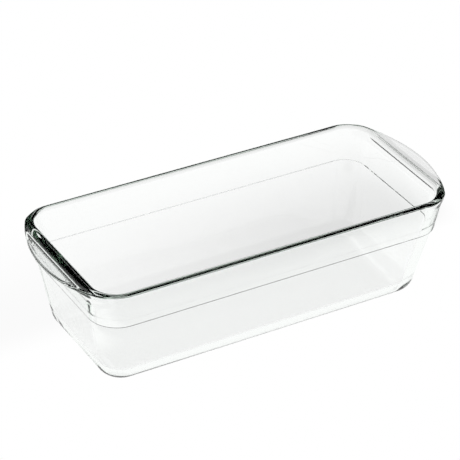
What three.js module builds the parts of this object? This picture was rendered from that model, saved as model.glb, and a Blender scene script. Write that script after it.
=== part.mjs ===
// Pressed glass loaf dish with a rolled rim, a stacking step round the wall and a flat lug at each end.
// Units are millimetres. X runs along the dish, Y across it and Z up. The origin is the centre of the
// underside, on the surface that the dish stands on.
//
// The whole dish is one loft. Its section runs from the middle of the underside, up the outside, over
// the rim and down the inside to the middle of the floor. Each level of the section is a rounded
// rectangle, and the levels of the lugs swell outwards at the two ends.
import * as THREE from 'three';

// Overall shape
const RIM_LENGTH = 261;              // outer length of the rim, without the lugs
const RIM_WIDTH = 117.6;             // outer width of the rim
const HEIGHT = 77.4;                 // underside to the top of the rim
const RIM_CORNER = 21.1;             // outer corner radius of the rim, in plan
const RIM_OUTSIDE = { across: 2.6, up: 1.6 };   // oval round of the rim's outer half
const RIM_INSIDE = { across: 2.7, up: 2.3 };    // oval round of the rim's inner half

// Outside of the wall
const UPPER_DRAFT = radians(8.1);    // lean of the band between the step and the rim
const LOWER_DRAFT = radians(10.2);   // lean of the wall below the step
const STEP_HEIGHT = 51.8;            // height of the flat ledge, which faces down
const STEP_DEPTH = 1.35;             // how far the wall below the ledge is set in
const BASE_FILLET = 13;              // between the wall and the underside
const UNDERSIDE_CORNER = 5;          // corner radius of the flat underside, in plan

// Inside of the dish
const INNER_DRAFT = radians(9.8);    // lean of the inner wall
const FLOOR_THICKNESS = 4;
const FLOOR_FILLET = 11;             // between the inner wall and the floor
const FLOOR_CORNER = 5;              // corner radius of the flat floor, in plan

// Corner radii of the walls, in plan
const LOWER_CORNER = 18.2;           // of the wall below the step, at the step
const UPPER_CORNER_SHRINK = 0.37;    // what each wall's radius loses for each mm that the wall leans in
const LOWER_CORNER_SHRINK = 0.2;
const INNER_CORNER_SHRINK = 0.12;

// Lugs
const LUG_REACH = 11.3;              // how far a lug stands out from the rim at its middle
const LUG_SHOULDER = 1.2;            // how far it still stands out where it meets the rim's corner
const LUG_SHOULDER_TURN = radians(30); // how far round the corner this shoulder fades out
const LUG_THICKNESS = 2.9;
const LUG_DROP = 1.3;                // top of the lug below the top of the rim
const LUG_ROOT_FILLET = 6.7;         // under the lug, against the wall
const LUG_CROWN_ANGLE = radians(61); // how far up the rim's round the fillet on the lug ends
const LUG_FULL_REACH = 7;            // reach by which the swelling has become a full lug
const LUG_SWELL_POWER = 6;           // the higher, the more sudden the change at that reach

// Fineness of the loft
const CORNER_STEPS = 9;
const END_STEPS = 14;
const SIDE_STEPS = 4;
const FILLET_STEPS = 6;
const RIM_STEPS = 6;
const RIM_TOP_STEPS = 2;
const LUG_EDGE_STEPS = 6;
const LUG_ROOT_STEPS = 4;
const LUG_CROWN_STEPS = 3;
const PLAIN_WALL_STEPS = 5;

function radians(degrees) {
  return degrees * Math.PI / 180;
}

function mix(a, b, share) {
  return a + (b - a) * share;
}

// Points of an oval arc in the section, both ends included. Angle 0 points outwards and a quarter
// turn points up.
function ovalArc(centreInset, centreZ, radii, start, end, steps) {
  return Array.from({ length: steps + 1 }, (_, i) => {
    const angle = mix(start, end, i / steps);
    return { inset: centreInset - radii.across * Math.cos(angle), z: centreZ + radii.up * Math.sin(angle) };
  });
}

function arc(centreInset, centreZ, radius, start, end, steps) {
  return ovalArc(centreInset, centreZ, { across: radius, up: radius }, start, end, steps);
}

// Every inset is measured inwards from the rim's outer face. The outer and the inner round of the rim
// meet at its top.
function rimOutside(start, end, steps) {
  return ovalArc(RIM_OUTSIDE.across, HEIGHT - RIM_OUTSIDE.up, RIM_OUTSIDE, start, end, steps);
}

function rimInside(start, end, steps) {
  return ovalArc(RIM_OUTSIDE.across, HEIGHT - RIM_INSIDE.up, RIM_INSIDE, start, end, steps);
}

// How far below level an oval round runs straight on into a wall of the given draft.
function footAngle(radii, draft) {
  return Math.atan(Math.tan(draft) * radii.up / radii.across);
}

// The walls hang from the feet of the rim's rounds.
const QUARTER = Math.PI / 2;
const OUTER_FOOT_ANGLE = -footAngle(RIM_OUTSIDE, UPPER_DRAFT);
const INNER_FOOT_ANGLE = Math.PI + footAngle(RIM_INSIDE, INNER_DRAFT);
const OUTER_FOOT = rimOutside(OUTER_FOOT_ANGLE, 0, 1)[0];
const INNER_FOOT = rimInside(0, INNER_FOOT_ANGLE, 1)[1];
const STEP_INSET = upperInset(STEP_HEIGHT) + STEP_DEPTH;

function upperInset(z) {
  return OUTER_FOOT.inset + (OUTER_FOOT.z - z) * Math.tan(UPPER_DRAFT);
}

function lowerInset(z) {
  return STEP_INSET + (STEP_HEIGHT - z) * Math.tan(LOWER_DRAFT);
}

function innerInset(z) {
  return INNER_FOOT.inset + (INNER_FOOT.z - z) * Math.tan(INNER_DRAFT);
}

// Corner radius, in plan, of the level at an inset. The rim's corners are parallel, and the walls'
// corners tighten more slowly than the walls lean in.
function rimCorner(inset) {
  return RIM_CORNER - inset;
}

function upperCorner(inset) {
  return RIM_CORNER - UPPER_CORNER_SHRINK * inset;
}

function lowerCorner(inset) {
  return LOWER_CORNER - LOWER_CORNER_SHRINK * (inset - STEP_INSET);
}

function innerCorner(inset) {
  return rimCorner(INNER_FOOT.inset) - INNER_CORNER_SHRINK * (inset - INNER_FOOT.inset);
}

function withCorner(points, corner) {
  return points.map(p => ({ ...p, corner: corner(p.inset) }));
}

// Round over from a leaning wall to a flat face, with the corner radius easing to the flat face's own.
function wallFillet(wallInset, draft, faceZ, radius, wallCorner, faceCorner) {
  const centreZ = faceZ + radius;
  const centreInset = wallInset(centreZ) + radius / Math.cos(draft);
  const points = arc(centreInset, centreZ, radius, -draft, -QUARTER, FILLET_STEPS);
  const wallEnd = points[0].inset;
  const share = inset => (inset - wallEnd) / (centreInset - wallEnd);
  return withCorner(points, inset => mix(wallCorner(wallEnd), faceCorner, share(inset)));
}

function lowerOutside() {
  const fillet = wallFillet(lowerInset, LOWER_DRAFT, 0, BASE_FILLET, lowerCorner, UNDERSIDE_CORNER);
  return [
    ...fillet.reverse(),
    ...withCorner([{ inset: STEP_INSET, z: STEP_HEIGHT }], lowerCorner),
    ...withCorner([{ inset: upperInset(STEP_HEIGHT), z: STEP_HEIGHT }], upperCorner),
  ];
}

// Section of a full lug that reaches out by the given distance: root fillet, underside, round edge,
// top, and the fillet that sweeps up on to the rim's round.
const LUG_EDGE = LUG_THICKNESS / 2;
const LUG_MIDDLE_Z = HEIGHT - LUG_DROP - LUG_EDGE;
const LUG_TOP_Z = LUG_MIDDLE_Z + LUG_EDGE;
const LUG_ROOT_Z = LUG_MIDDLE_Z - LUG_EDGE - LUG_ROOT_FILLET;
const CROWN_POINT = rimOutside(LUG_CROWN_ANGLE, 0, 1)[0];
const CROWN_SLOPE = Math.atan2(
  RIM_OUTSIDE.up * Math.cos(LUG_CROWN_ANGLE),
  RIM_OUTSIDE.across * Math.sin(LUG_CROWN_ANGLE),
);
const CROWN_FILLET = (CROWN_POINT.z - LUG_TOP_Z) / (1 - Math.cos(CROWN_SLOPE));
const CROWN_FILLET_INSET = CROWN_POINT.inset - CROWN_FILLET * Math.sin(CROWN_SLOPE);

function fullLug(reach) {
  const wall = upperInset(LUG_ROOT_Z);
  return [
    ...arc(wall - LUG_ROOT_FILLET, LUG_ROOT_Z, LUG_ROOT_FILLET, Math.PI, QUARTER, LUG_ROOT_STEPS),
    ...arc(LUG_EDGE - reach, LUG_MIDDLE_Z, LUG_EDGE, -QUARTER, QUARTER, LUG_EDGE_STEPS),
    ...arc(CROWN_FILLET_INSET, LUG_TOP_Z + CROWN_FILLET, CROWN_FILLET, -QUARTER, -QUARTER - CROWN_SLOPE,
      LUG_CROWN_STEPS),
  ];
}

// The same stretch of the section where there is no lug: up the wall and round the rim's outside.
function plainBand(count) {
  const wall = Array.from({ length: PLAIN_WALL_STEPS }, (_, i) => {
    const z = mix(LUG_ROOT_Z, OUTER_FOOT.z, i / PLAIN_WALL_STEPS);
    return { inset: upperInset(z), z };
  });
  const rim = rimOutside(OUTER_FOOT_ANGLE, LUG_CROWN_ANGLE, count - PLAIN_WALL_STEPS - 1);
  return [...withCorner(wall, upperCorner), ...withCorner(rim, rimCorner)];
}

// The levels of the lug band. Each has its plain place and, as a function of the reach, its place on
// the lug.
function lugBand() {
  const plain = plainBand(fullLug(LUG_REACH).length);
  return plain.map((p, i) => ({ ...p, lug: reach => fullLug(reach)[i] }));
}

function section() {
  const round = [
    ...rimOutside(LUG_CROWN_ANGLE, QUARTER, RIM_TOP_STEPS),
    ...rimInside(QUARTER, INNER_FOOT_ANGLE, RIM_STEPS).slice(1),
  ];
  return [
    ...lowerOutside(),
    ...lugBand(),
    ...withCorner(round.slice(1), rimCorner),
    ...wallFillet(innerInset, INNER_DRAFT, FLOOR_THICKNESS, FLOOR_FILLET, innerCorner, FLOOR_CORNER),
  ];
}

// Places round the outline, anticlockwise from above: the corner quarter that each belongs to and the
// direction that it faces. On a straight, one of the two signs runs from corner to corner.
function stations() {
  const corners = [[1, 1], [-1, 1], [-1, -1], [1, -1]];
  return corners.flatMap(([sx, sy], turn) => {
    const round = Array.from({ length: CORNER_STEPS + 1 }, (_, i) => (
      { sx, sy, angle: QUARTER * (turn + i / CORNER_STEPS) }));
    const [nextX, nextY] = corners[(turn + 1) % corners.length];
    const steps = sx === nextX ? END_STEPS : SIDE_STEPS;
    const straight = Array.from({ length: steps - 1 }, (_, i) => {
      const share = (i + 1) / steps;
      return { sx: mix(sx, nextX, share), sy: mix(sy, nextY, share), angle: QUARTER * (turn + 1) };
    });
    return [...round, ...straight];
  });
}

function onOutline(station, inset, corner) {
  const x = station.sx * (RIM_LENGTH / 2 - inset - corner) + corner * Math.cos(station.angle);
  const y = station.sy * (RIM_WIDTH / 2 - inset - corner) + corner * Math.sin(station.angle);
  return new THREE.Vector2(x, y);
}

// In plan a lug is bounded by one large arc that runs into a narrow shoulder round the rim's corners.
const CORNER_X = RIM_LENGTH / 2 - RIM_CORNER;
const CORNER_Y = RIM_WIDTH / 2 - RIM_CORNER;
const LUG_TIP_X = RIM_LENGTH / 2 + LUG_REACH - LUG_SHOULDER;
const TIP_OVER_CORNER = LUG_TIP_X - CORNER_X;
const LUG_ARC_RADIUS = (TIP_OVER_CORNER ** 2 + CORNER_Y ** 2 - RIM_CORNER ** 2)
  / (2 * (TIP_OVER_CORNER - RIM_CORNER));
const LUG_ARC_X = LUG_TIP_X - LUG_ARC_RADIUS;
const LUG_END_ANGLE = Math.atan2(CORNER_Y, CORNER_X - LUG_ARC_X);

// How far the lug's edge lies outside the rim, along the direction that the rim faces there.
function lugReach(station) {
  const facing = new THREE.Vector2(Math.cos(station.angle), Math.sin(station.angle));
  const turn = Math.acos(Math.min(Math.abs(facing.x), 1));
  const fade = THREE.MathUtils.smoothstep(1 - (turn - LUG_END_ANGLE) / LUG_SHOULDER_TURN, 0, 1);
  const shoulder = LUG_SHOULDER * fade;
  if (turn >= LUG_END_ANGLE) {
    return shoulder;
  }
  const arcCentre = new THREE.Vector2(Math.sign(facing.x) * LUG_ARC_X, 0);
  const fromArc = onOutline(station, 0, RIM_CORNER).sub(arcCentre);
  const along = fromArc.dot(facing);
  return shoulder + Math.sqrt(along ** 2 - fromArc.lengthSq() + LUG_ARC_RADIUS ** 2) - along;
}

// A point of the loft: on a level's own outline, or pushed out on to the lug. Where the reach is short,
// the point goes only part of the way from the plain wall to a lug of about the full reach.
function loftPoint(lvl, station, reach) {
  const base = onOutline(station, lvl.inset, lvl.corner);
  if (!lvl.lug || reach === 0) {
    return [base.x, base.y, lvl.z];
  }
  const spread = (reach ** LUG_SWELL_POWER + LUG_FULL_REACH ** LUG_SWELL_POWER) ** (1 / LUG_SWELL_POWER);
  const share = reach / spread;
  const target = lvl.lug(spread);
  const push = share * (lvl.inset - target.inset);
  return [
    base.x + push * Math.cos(station.angle),
    base.y + push * Math.sin(station.angle),
    mix(lvl.z, target.z, share),
  ];
}

// The closed dish: rows of points, one to a level, with fans to the middles of the underside and floor.
function dishGeometry() {
  const levels = section();
  const round = stations();
  const reaches = round.map(lugReach);
  const loftRow = lvl => round.flatMap((station, j) => loftPoint(lvl, station, reaches[j]));
  const positions = levels.flatMap(loftRow);
  const underside = levels.length * round.length;
  const floor = underside + 1;
  positions.push(0, 0, 0, 0, 0, FLOOR_THICKNESS);

  const indices = [];
  const lastLevel = (levels.length - 1) * round.length;
  for (let j = 0; j < round.length; j += 1) {
    const next = (j + 1) % round.length;
    indices.push(underside, next, j);
    for (let row = 0; row < lastLevel; row += round.length) {
      const above = row + round.length;
      indices.push(row + j, row + next, above + next);
      indices.push(row + j, above + next, above + j);
    }
    indices.push(floor, lastLevel + j, lastLevel + next);
  }

  const geometry = new THREE.BufferGeometry();
  geometry.setAttribute('position', new THREE.Float32BufferAttribute(positions, 3));
  geometry.setIndex(indices);
  geometry.computeVertexNormals();
  return geometry;
}

function loafDish() {
  const glass = new THREE.MeshStandardMaterial({ color: 0xe9efea, roughness: 0.04, metalness: 0 });
  const dish = new THREE.Mesh(dishGeometry(), glass);
  dish.name = 'glass_dish';
  return dish;
}

const model = new THREE.Group();
model.add(loafDish());

export default model;
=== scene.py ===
"""A clear pressed-glass loaf dish on a white table, in bright-field studio light.

The dish is one solid of glass, so the scene has one piece: a finely lofted mesh that replaces the
faceted CAD node. Its section and outline follow the same driving dimensions as the CAD model.
Lengths are in millimetres until mesh_object() scales them to metres.
"""
import math

import bpy
from mathutils import Matrix, Vector


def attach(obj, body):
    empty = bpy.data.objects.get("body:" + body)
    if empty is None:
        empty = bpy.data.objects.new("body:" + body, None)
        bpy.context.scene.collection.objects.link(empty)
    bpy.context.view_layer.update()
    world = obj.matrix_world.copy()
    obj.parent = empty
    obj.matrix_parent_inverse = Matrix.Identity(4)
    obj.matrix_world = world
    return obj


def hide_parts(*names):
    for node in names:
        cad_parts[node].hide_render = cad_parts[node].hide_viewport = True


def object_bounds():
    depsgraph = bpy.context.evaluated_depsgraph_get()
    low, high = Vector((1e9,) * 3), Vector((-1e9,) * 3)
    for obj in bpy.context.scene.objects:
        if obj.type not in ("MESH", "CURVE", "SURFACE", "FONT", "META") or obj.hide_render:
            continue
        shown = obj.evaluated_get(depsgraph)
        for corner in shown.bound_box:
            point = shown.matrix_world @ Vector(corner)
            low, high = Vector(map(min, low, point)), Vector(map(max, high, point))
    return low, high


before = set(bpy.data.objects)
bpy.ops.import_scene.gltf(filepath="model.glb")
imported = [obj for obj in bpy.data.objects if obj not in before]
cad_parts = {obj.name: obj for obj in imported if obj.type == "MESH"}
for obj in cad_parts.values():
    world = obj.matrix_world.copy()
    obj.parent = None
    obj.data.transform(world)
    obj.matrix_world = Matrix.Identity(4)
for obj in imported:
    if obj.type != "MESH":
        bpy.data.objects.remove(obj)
cad_low, cad_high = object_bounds()

MM = 0.001
CAD_SIZE = (cad_high - cad_low) / MM

# Driving dimensions of the dish, in millimetres and radians. First its lugs: how far they stand out
# at their middles and round the rim's corners, and how they grow out of the wall and the rim
LUG_REACH = 11.3
LUG_SHOULDER = 1.2
LUG_SHOULDER_TURN = math.radians(30)
LUG_THICKNESS = 2.9
LUG_DROP = 1.3
LUG_ROOT_FILLET = 6.7
LUG_CROWN_ANGLE = math.radians(61)
LUG_FULL_REACH = 7.0
LUG_SWELL_POWER = 6

# The rim, whose two oval rounds are given as radii across and up
RIM_LENGTH = CAD_SIZE.x - 2 * LUG_REACH
RIM_WIDTH = CAD_SIZE.y
HEIGHT = CAD_SIZE.z
RIM_CORNER = 21.1
RIM_OUTSIDE = (2.6, 1.6)
RIM_INSIDE = (2.7, 2.3)

# The walls' lean, the step, the underside and the floor
UPPER_DRAFT = math.radians(8.1)
LOWER_DRAFT = math.radians(10.2)
INNER_DRAFT = math.radians(9.8)
STEP_HEIGHT = 51.8
STEP_DEPTH = 1.35
BASE_FILLET = 13.0
UNDERSIDE_CORNER = 5.0
FLOOR_THICKNESS = 4.0
FLOOR_FILLET = 11.0
FLOOR_CORNER = 5.0

# Corner radius of the lower wall at the step, in plan, and what each wall's radius loses for each mm
# that the wall leans in
LOWER_CORNER = 18.2
UPPER_CORNER_SHRINK = 0.37
LOWER_CORNER_SHRINK = 0.2
INNER_CORNER_SHRINK = 0.12

# Fineness of the mesh. The last three place the rows beside the step's edges and inside the flats
CORNER_STEPS = 28
END_STEPS = 44
SIDE_STEPS = 30
FILLET_STEPS = 24
WALL_STEPS = 14
RIM_STEPS = 28
LUG_EDGE_STEPS = 18
LUG_FILLET_STEPS = 8
LUG_FACE_STEPS = 8
PLAIN_WALL_STEPS = 12
EDGE_ROW = 0.12
LEDGE_ROW_SHARE = 0.1
FLAT_ROW = 1.0

QUARTER = math.pi / 2

# The glass, and the waves in its faces: how many to the metre along, across and up, and their height
GLASS_IOR = 1.48
GLASS_TINT = (0.55, 0.80, 0.62, 1)
GLASS_TINT_DENSITY = 6.0
WAVES_PER_METRE = (8.0, 30.0, 40.0)
WAVE_HEIGHT = 0.0004

# The lit table, in metres and brightness. A painted shade stands in for the dish's shadow: it is dimmed
# into the table's light and grows between two places along X, from one strength to another, and each of its
# edges runs from where it is gone to where it is full
TABLE_LIGHT = 1.0
TABLE_RADIUS = 0.40
TABLE_SIDES = 128
TABLE_DROP = 0.0001
PAINTED_SHADE_GROWS = (-0.12, 0.14, 0.045, 0.20)
PAINTED_SHADE_RIGHT_EDGE = (0.205, 0.160)
PAINTED_SHADE_FRONT_EDGE = (0.010, 0.045)
PAINTED_SHADE_BACK_EDGE = (0.165, 0.050)

# The room: dark above, white below, and a strip light behind, given by the directions of its middle
# and its side. Each edge runs between two cosines
ROOM_LIGHT = 0.005
ROOM_EDGE = (-0.02, -0.08)
BOX_LIGHT = 1.0
BOX_MIDDLE = (0.341, 0.576, 0.743)
BOX_SIDE = (-0.783, -0.264, 0.564)
BOX_LENGTH_EDGE = (0.945, 0.966)
BOX_WIDTH_EDGE = (0.139, 0.087)

# The camera: angles, distance and how far right and up it aims in metres, lens and sensor in mm
CAMERA_AZIMUTH = math.radians(-31.30)
CAMERA_ELEVATION = math.radians(32.63)
CAMERA_ROLL = math.radians(1.805)
CAMERA_DISTANCE = 1.5435
CAMERA_AIM = (-0.0031, 0.04895)
CAMERA_LENS = 182.3
CAMERA_SENSOR = 36


def mix(a, b, share):
    return a + (b - a) * share


def smoothstep(share):
    share = min(max(share, 0.0), 1.0)
    return share * share * (3 - 2 * share)


def eased(count):
    """Shares from 0 to 1, both left out, that crowd towards both ends."""
    return [(1 - math.cos(math.pi * i / count)) / 2 for i in range(1, count)]


def oval_arc(centre_inset, centre_z, radii, start, end, steps):
    """Points (inset, z) of an arc in the section. Angle 0 points outwards and a quarter turn up."""
    angles = [mix(start, end, i / steps) for i in range(steps + 1)]
    return [(centre_inset - radii[0] * math.cos(a), centre_z + radii[1] * math.sin(a)) for a in angles]


def arc(centre_inset, centre_z, radius, start, end, steps):
    return oval_arc(centre_inset, centre_z, (radius, radius), start, end, steps)


def foot_angle(radii, draft):
    """How far below level an oval arc runs into a wall of the given draft."""
    return math.atan(math.tan(draft) * radii[1] / radii[0])


def rim_outside(start, end, steps):
    return oval_arc(RIM_OUTSIDE[0], HEIGHT - RIM_OUTSIDE[1], RIM_OUTSIDE, start, end, steps)


def rim_inside(start, end, steps):
    return oval_arc(RIM_OUTSIDE[0], HEIGHT - RIM_INSIDE[1], RIM_INSIDE, start, end, steps)


OUTER_FOOT_ANGLE = -foot_angle(RIM_OUTSIDE, UPPER_DRAFT)
INNER_FOOT_ANGLE = math.pi + foot_angle(RIM_INSIDE, INNER_DRAFT)
OUTER_FOOT = rim_outside(OUTER_FOOT_ANGLE, 0, 1)[0]
INNER_FOOT = rim_inside(0, INNER_FOOT_ANGLE, 1)[1]


def upper_inset(z):
    return OUTER_FOOT[0] + (OUTER_FOOT[1] - z) * math.tan(UPPER_DRAFT)


STEP_INSET = upper_inset(STEP_HEIGHT) + STEP_DEPTH


def lower_inset(z):
    return STEP_INSET + (STEP_HEIGHT - z) * math.tan(LOWER_DRAFT)


def inner_inset(z):
    return INNER_FOOT[0] + (INNER_FOOT[1] - z) * math.tan(INNER_DRAFT)


def rim_corner(inset):
    return RIM_CORNER - inset


def upper_corner(inset):
    return RIM_CORNER - UPPER_CORNER_SHRINK * inset


def lower_corner(inset):
    return LOWER_CORNER - LOWER_CORNER_SHRINK * (inset - STEP_INSET)


def inner_corner(inset):
    return rim_corner(INNER_FOOT[0]) - INNER_CORNER_SHRINK * (inset - INNER_FOOT[0])


def with_corner(points, corner):
    """Levels (inset, z, corner radius) from points of the section."""
    return [(inset, z, corner(inset)) for inset, z in points]


def wall_fillet(wall_inset, draft, face_z, radius, wall_corner, face_corner):
    """Levels round a fillet from a leaning wall to a flat face, and one more just inside the face."""
    centre_z = face_z + radius
    centre_inset = wall_inset(centre_z) + radius / math.cos(draft)
    points = arc(centre_inset, centre_z, radius, -draft, -QUARTER, FILLET_STEPS)
    wall_end = points[0][0]

    def corner(inset):
        return mix(wall_corner(wall_end), face_corner, (inset - wall_end) / (centre_inset - wall_end))

    inside = (centre_inset + FLAT_ROW, face_z, face_corner - FLAT_ROW)
    return [*with_corner(points, corner), inside]


def straight(start, end, steps):
    """Points between two ends of a straight wall, the ends left out."""
    return [(mix(start[0], end[0], s), mix(start[1], end[1], s)) for s in eased(steps)]


def step_curve():
    """The two edges of the step's flat ledge, with close rows beside each to keep it crisp."""
    outside = upper_inset(STEP_HEIGHT)
    shares = (0, LEDGE_ROW_SHARE, 1 - LEDGE_ROW_SHARE, 1)
    ledge = [(mix(STEP_INSET, outside, share), STEP_HEIGHT) for share in shares]
    below, above = STEP_HEIGHT - EDGE_ROW, STEP_HEIGHT + EDGE_ROW
    low = [(lower_inset(below), below), *ledge[:2]]
    high = [*ledge[2:], (upper_inset(above), above)]
    return low, high


# The lug's section
LUG_EDGE = LUG_THICKNESS / 2
LUG_MIDDLE_Z = HEIGHT - LUG_DROP - LUG_EDGE
LUG_ROOT_Z = LUG_MIDDLE_Z - LUG_EDGE - LUG_ROOT_FILLET
LUG_TOP_Z = LUG_MIDDLE_Z + LUG_EDGE
CROWN_POINT = rim_outside(LUG_CROWN_ANGLE, 0, 1)[0]
CROWN_RUN = RIM_OUTSIDE[0] * math.sin(LUG_CROWN_ANGLE)
CROWN_RISE = RIM_OUTSIDE[1] * math.cos(LUG_CROWN_ANGLE)
CROWN_SLOPE = math.atan2(CROWN_RISE, CROWN_RUN)
CROWN_FILLET = (CROWN_POINT[1] - LUG_TOP_Z) / (1 - math.cos(CROWN_SLOPE))
CROWN_FILLET_INSET = CROWN_POINT[0] - CROWN_FILLET * math.sin(CROWN_SLOPE)


def full_lug(reach):
    """Root fillet, underside, round edge, top and the fillet against the rim, as points."""
    wall = upper_inset(LUG_ROOT_Z)
    root = arc(wall - LUG_ROOT_FILLET, LUG_ROOT_Z, LUG_ROOT_FILLET, math.pi, QUARTER, LUG_FILLET_STEPS)
    edge = arc(LUG_EDGE - reach, LUG_MIDDLE_Z, LUG_EDGE, -QUARTER, QUARTER, LUG_EDGE_STEPS)
    crown = arc(CROWN_FILLET_INSET, LUG_TOP_Z + CROWN_FILLET, CROWN_FILLET, -QUARTER,
                -QUARTER - CROWN_SLOPE, LUG_FILLET_STEPS)
    under = straight(root[-1], edge[0], LUG_FACE_STEPS)
    top = straight(edge[-1], crown[0], LUG_FACE_STEPS)
    return [*root, *under, *edge, *top, *crown]


def plain_band(count):
    """Levels of the same stretch of the section where there is no lug: up the wall and round the rim."""
    heights = [mix(LUG_ROOT_Z, OUTER_FOOT[1], i / PLAIN_WALL_STEPS) for i in range(PLAIN_WALL_STEPS)]
    wall = [(upper_inset(z), z) for z in heights]
    rim = rim_outside(OUTER_FOOT_ANGLE, LUG_CROWN_ANGLE, count - PLAIN_WALL_STEPS - 1)
    return [*with_corner(wall, upper_corner), *with_corner(rim, rim_corner)]


def section():
    """Levels from the underside up the outside, over the rim and down to the floor.

    Also returns the range of levels that the lugs push out."""
    base = wall_fillet(lower_inset, LOWER_DRAFT, 0, BASE_FILLET, lower_corner, UNDERSIDE_CORNER)
    base.reverse()
    step_low, step_high = step_curve()
    lower_wall = straight(base[-1][:2], step_low[0], WALL_STEPS)
    band = plain_band(len(full_lug(LUG_REACH)))
    upper_wall = straight(step_high[-1], band[0][:2], WALL_STEPS)
    rim = rim_outside(LUG_CROWN_ANGLE, QUARTER, RIM_STEPS)
    rim += rim_inside(QUARTER, INNER_FOOT_ANGLE, RIM_STEPS)[1:]
    floor = wall_fillet(inner_inset, INNER_DRAFT, FLOOR_THICKNESS, FLOOR_FILLET, inner_corner, FLOOR_CORNER)
    inner_wall = straight(rim[-1], floor[0][:2], WALL_STEPS)
    lower = with_corner([*lower_wall, *step_low], lower_corner)
    below = [*base, *lower, *with_corner([*step_high, *upper_wall], upper_corner)]
    lug_rows = range(len(below), len(below) + len(band))
    above = [*band, *with_corner(rim[1:], rim_corner), *with_corner(inner_wall, inner_corner), *floor]
    return [*below, *above], lug_rows


def stations():
    """Places round the outline, anticlockwise: signs of the corner quarter, and the facing angle."""
    corners = [(1, 1), (-1, 1), (-1, -1), (1, -1)]
    places = []
    for turn, (sx, sy) in enumerate(corners):
        for i in range(CORNER_STEPS + 1):
            places.append((sx, sy, QUARTER * (turn + i / CORNER_STEPS)))
        next_x, next_y = corners[(turn + 1) % 4]
        for share in eased(END_STEPS if sx == next_x else SIDE_STEPS):
            places.append((mix(sx, next_x, share), mix(sy, next_y, share), QUARTER * (turn + 1)))
    return places


def on_outline(station, inset, corner):
    sx, sy, angle = station
    x = sx * (RIM_LENGTH / 2 - inset - corner) + corner * math.cos(angle)
    y = sy * (RIM_WIDTH / 2 - inset - corner) + corner * math.sin(angle)
    return x, y


# In plan a lug is one large arc that runs into a narrow shoulder round the rim's two corners.
CORNER_X = RIM_LENGTH / 2 - RIM_CORNER
CORNER_Y = RIM_WIDTH / 2 - RIM_CORNER
LUG_TIP_X = RIM_LENGTH / 2 + LUG_REACH - LUG_SHOULDER
TIP_OVER_CORNER = LUG_TIP_X - CORNER_X
LUG_CHORD = TIP_OVER_CORNER ** 2 + CORNER_Y ** 2 - RIM_CORNER ** 2
LUG_ARC_RADIUS = LUG_CHORD / (2 * (TIP_OVER_CORNER - RIM_CORNER))
LUG_ARC_X = LUG_TIP_X - LUG_ARC_RADIUS
LUG_END_ANGLE = math.atan2(CORNER_Y, CORNER_X - LUG_ARC_X)


def lug_reach(station):
    """How far the lug's edge lies outside the rim, along the direction that the rim faces."""
    face_x, face_y = math.cos(station[2]), math.sin(station[2])
    turn = math.acos(min(abs(face_x), 1.0))
    shoulder = LUG_SHOULDER * smoothstep(1 - (turn - LUG_END_ANGLE) / LUG_SHOULDER_TURN)
    if turn >= LUG_END_ANGLE:
        return shoulder
    x, y = on_outline(station, 0, RIM_CORNER)
    x -= math.copysign(LUG_ARC_X, face_x)
    along = x * face_x + y * face_y
    return shoulder + math.sqrt(along ** 2 - x * x - y * y + LUG_ARC_RADIUS ** 2) - along


def column(levels, lug_rows, station):
    """The whole section at one place of the outline, as points in space.

    Where the lug's reach is short, its rows go only part of the way to a lug of about the full reach."""
    face_x, face_y = math.cos(station[2]), math.sin(station[2])
    reach = lug_reach(station)
    spread = (reach ** LUG_SWELL_POWER + LUG_FULL_REACH ** LUG_SWELL_POWER) ** (1 / LUG_SWELL_POWER)
    share = reach / spread
    lug = full_lug(spread)
    points = []
    for row, (inset, z, corner) in enumerate(levels):
        x, y = on_outline(station, inset, corner)
        if row in lug_rows and reach > 0:
            lug_inset, lug_z = lug[row - lug_rows.start]
            push = share * (inset - lug_inset)
            x, y, z = x + push * face_x, y + push * face_y, mix(z, lug_z, share)
        points.append((x, y, z))
    return points


def dish_mesh():
    """Vertices and faces of the closed dish."""
    levels, lug_rows = section()
    columns = [column(levels, lug_rows, station) for station in stations()]
    rows, count = len(levels), len(columns)
    vertices = [columns[j][i] for i in range(rows) for j in range(count)]
    faces = [list(range(count - 1, -1, -1)), [(rows - 1) * count + j for j in range(count)]]
    for i in range(rows - 1):
        for j in range(count):
            k = (j + 1) % count
            faces.append((i * count + j, i * count + k, (i + 1) * count + k, (i + 1) * count + j))
    return vertices, faces


def mesh_object(name, vertices, faces, material):
    mesh = bpy.data.meshes.new(name)
    mesh.from_pydata([tuple(c * MM for c in v) for v in vertices], [], faces)
    mesh.shade_smooth()
    mesh.materials.append(material)
    obj = bpy.data.objects.new(name, mesh)
    bpy.context.scene.collection.objects.link(obj)
    return obj


def new_material(name):
    material = bpy.data.materials.new(name)
    material.use_nodes = True
    nodes, links = material.node_tree.nodes, material.node_tree.links
    nodes.clear()
    return material, nodes, links


def mould_waves(nodes, links):
    """Faint waves that the mould leaves in the glass, drawn out along the dish."""
    place = nodes.new("ShaderNodeTexCoord").outputs["Object"]
    stretch = nodes.new("ShaderNodeMapping")
    stretch.inputs["Scale"].default_value = WAVES_PER_METRE
    links.new(place, stretch.inputs["Vector"])
    noise = nodes.new("ShaderNodeTexNoise")
    noise.inputs["Scale"].default_value = 1.0
    noise.inputs["Detail"].default_value = 1.0
    links.new(stretch.outputs[0], noise.inputs["Vector"])
    bump = nodes.new("ShaderNodeBump")
    bump.inputs["Strength"].default_value = 1.0
    bump.inputs["Distance"].default_value = WAVE_HEIGHT
    links.new(noise.outputs[0], bump.inputs["Height"])
    return bump.outputs[0]


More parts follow.
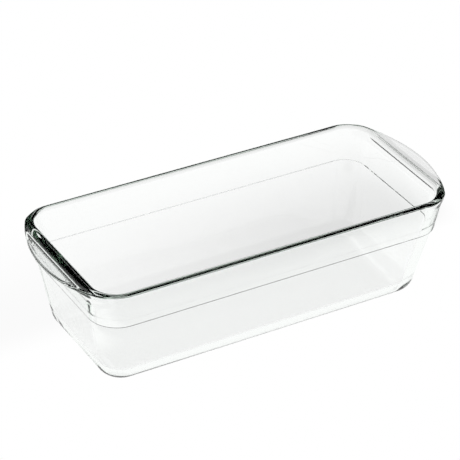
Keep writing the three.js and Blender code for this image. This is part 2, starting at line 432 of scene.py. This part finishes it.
def glass_material():
    """Clear glass, green in its thickness."""
    material, nodes, links = new_material("clear_glass")
    shader = nodes.new("ShaderNodeBsdfPrincipled")
    shader.inputs["Base Color"].default_value = (1.0, 1.0, 1.0, 1)
    shader.inputs["Transmission Weight"].default_value = 1.0
    shader.inputs["IOR"].default_value = GLASS_IOR
    shader.inputs["Roughness"].default_value = 0.0
    links.new(mould_waves(nodes, links), shader.inputs["Normal"])
    volume = nodes.new("ShaderNodeVolumeAbsorption")
    volume.inputs["Color"].default_value = GLASS_TINT
    volume.inputs["Density"].default_value = GLASS_TINT_DENSITY
    output = nodes.new("ShaderNodeOutputMaterial")
    links.new(shader.outputs[0], output.inputs["Surface"])
    links.new(volume.outputs[0], output.inputs["Volume"])
    return material


def math_node(nodes, links, operation, first, second):
    """A maths node whose inputs are given as sockets or as numbers."""
    node = nodes.new("ShaderNodeMath")
    node.operation = operation
    for socket, value in zip(node.inputs, (first, second)):
        if isinstance(value, (int, float)):
            socket.default_value = value
        else:
            links.new(value, socket)
    return node.outputs[0]


def soft_range(nodes, links, value, start, end, first=0.0, last=1.0):
    """Eases from first to last while the value goes from start to end."""
    node = nodes.new("ShaderNodeMapRange")
    node.interpolation_type = "SMOOTHSTEP"
    links.new(value, node.inputs["Value"])
    for name, number in (("From Min", start), ("From Max", end), ("To Min", first), ("To Max", last)):
        node.inputs[name].default_value = number
    return node.outputs[0]


def floor():
    """A round white lit table, with a painted shade dimmed into its light behind the dish in place of a
    cast shadow.
    """
    material, nodes, links = new_material("white_table")
    shader = nodes.new("ShaderNodeEmission")
    output = nodes.new("ShaderNodeOutputMaterial")
    place = nodes.new("ShaderNodeNewGeometry")
    split = nodes.new("ShaderNodeSeparateXYZ")
    links.new(place.outputs["Position"], split.inputs[0])
    x, y = split.outputs["X"], split.outputs["Y"]
    # Painted shade: the table's light is dimmed by position where the dish's shadow would fall
    shade = soft_range(nodes, links, x, *PAINTED_SHADE_GROWS)
    for side, edge in ((x, PAINTED_SHADE_RIGHT_EDGE), (y, PAINTED_SHADE_FRONT_EDGE), (y, PAINTED_SHADE_BACK_EDGE)):
        shade = math_node(nodes, links, "MULTIPLY", shade, soft_range(nodes, links, side, *edge))
    links.new(math_node(nodes, links, "SUBTRACT", TABLE_LIGHT, shade), shader.inputs["Strength"])
    links.new(shader.outputs[0], output.inputs["Surface"])
    radius, drop = TABLE_RADIUS / MM, TABLE_DROP / MM
    turns = [2 * math.pi * i / TABLE_SIDES for i in range(TABLE_SIDES)]
    corners = [(radius * math.cos(a), radius * math.sin(a), -drop) for a in turns]
    mesh_object("table", corners, [list(range(TABLE_SIDES))], material)


def facing(nodes, links, direction, towards):
    """Cosine of the angle between a direction and a fixed one."""
    node = nodes.new("ShaderNodeVectorMath")
    node.operation = "DOT_PRODUCT"
    node.inputs[1].default_value = towards
    links.new(direction, node.inputs[0])
    return node.outputs["Value"]


def room():
    """White below the table and a dark room above it, with a strip light behind the dish.

    The dark room is what draws the dark lines in the rim, the lugs and the step."""
    world = bpy.data.worlds.new("studio")
    bpy.context.scene.world = world
    world.use_nodes = True
    nodes, links = world.node_tree.nodes, world.node_tree.links
    nodes.clear()
    direction = nodes.new("ShaderNodeTexCoord").outputs["Generated"]
    height = facing(nodes, links, direction, (0, 0, 1))
    below = soft_range(nodes, links, height, *ROOM_EDGE, ROOM_LIGHT, TABLE_LIGHT)
    along = facing(nodes, links, direction, BOX_MIDDLE)
    across = math_node(nodes, links, "ABSOLUTE", facing(nodes, links, direction, BOX_SIDE), 0)
    box = soft_range(nodes, links, along, *BOX_LENGTH_EDGE, 0.0, BOX_LIGHT)
    box = math_node(nodes, links, "MULTIPLY", box, soft_range(nodes, links, across, *BOX_WIDTH_EDGE))
    background = nodes.new("ShaderNodeBackground")
    background.inputs["Color"].default_value = (1, 1, 1, 1)
    links.new(math_node(nodes, links, "ADD", below, box), background.inputs["Strength"])
    output = nodes.new("ShaderNodeOutputWorld")
    links.new(background.outputs[0], output.inputs["Surface"])


def camera():
    """Looks down on the dish's front and left end, with a slight roll."""
    back = Vector((math.sin(CAMERA_AZIMUTH) * math.cos(CAMERA_ELEVATION),
                   -math.cos(CAMERA_AZIMUTH) * math.cos(CAMERA_ELEVATION), math.sin(CAMERA_ELEVATION)))
    level_right = Vector((math.cos(CAMERA_AZIMUTH), math.sin(CAMERA_AZIMUTH), 0))
    level_up = back.cross(level_right)
    right = level_right * math.cos(CAMERA_ROLL) + level_up * math.sin(CAMERA_ROLL)
    up = back.cross(right)
    data = bpy.data.cameras.new("camera")
    data.lens = CAMERA_LENS
    data.sensor_width = CAMERA_SENSOR
    obj = bpy.data.objects.new("camera", data)
    obj.matrix_world = Matrix((right, up, back)).transposed().to_4x4()
    obj.location = back * CAMERA_DISTANCE + right * CAMERA_AIM[0] + up * CAMERA_AIM[1]
    bpy.context.scene.collection.objects.link(obj)
    bpy.context.scene.camera = obj


dish = mesh_object("glass_dish_fine", *dish_mesh(), glass_material())
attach(dish, "root")
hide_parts("glass_dish")

floor()
room()
camera()
bpy.context.scene.view_settings.view_transform = "Standard"
bpy.context.scene.cycles.max_bounces = 32
bpy.context.scene.cycles.transmission_bounces = 32
bpy.context.scene.cycles.glossy_bounces = 16
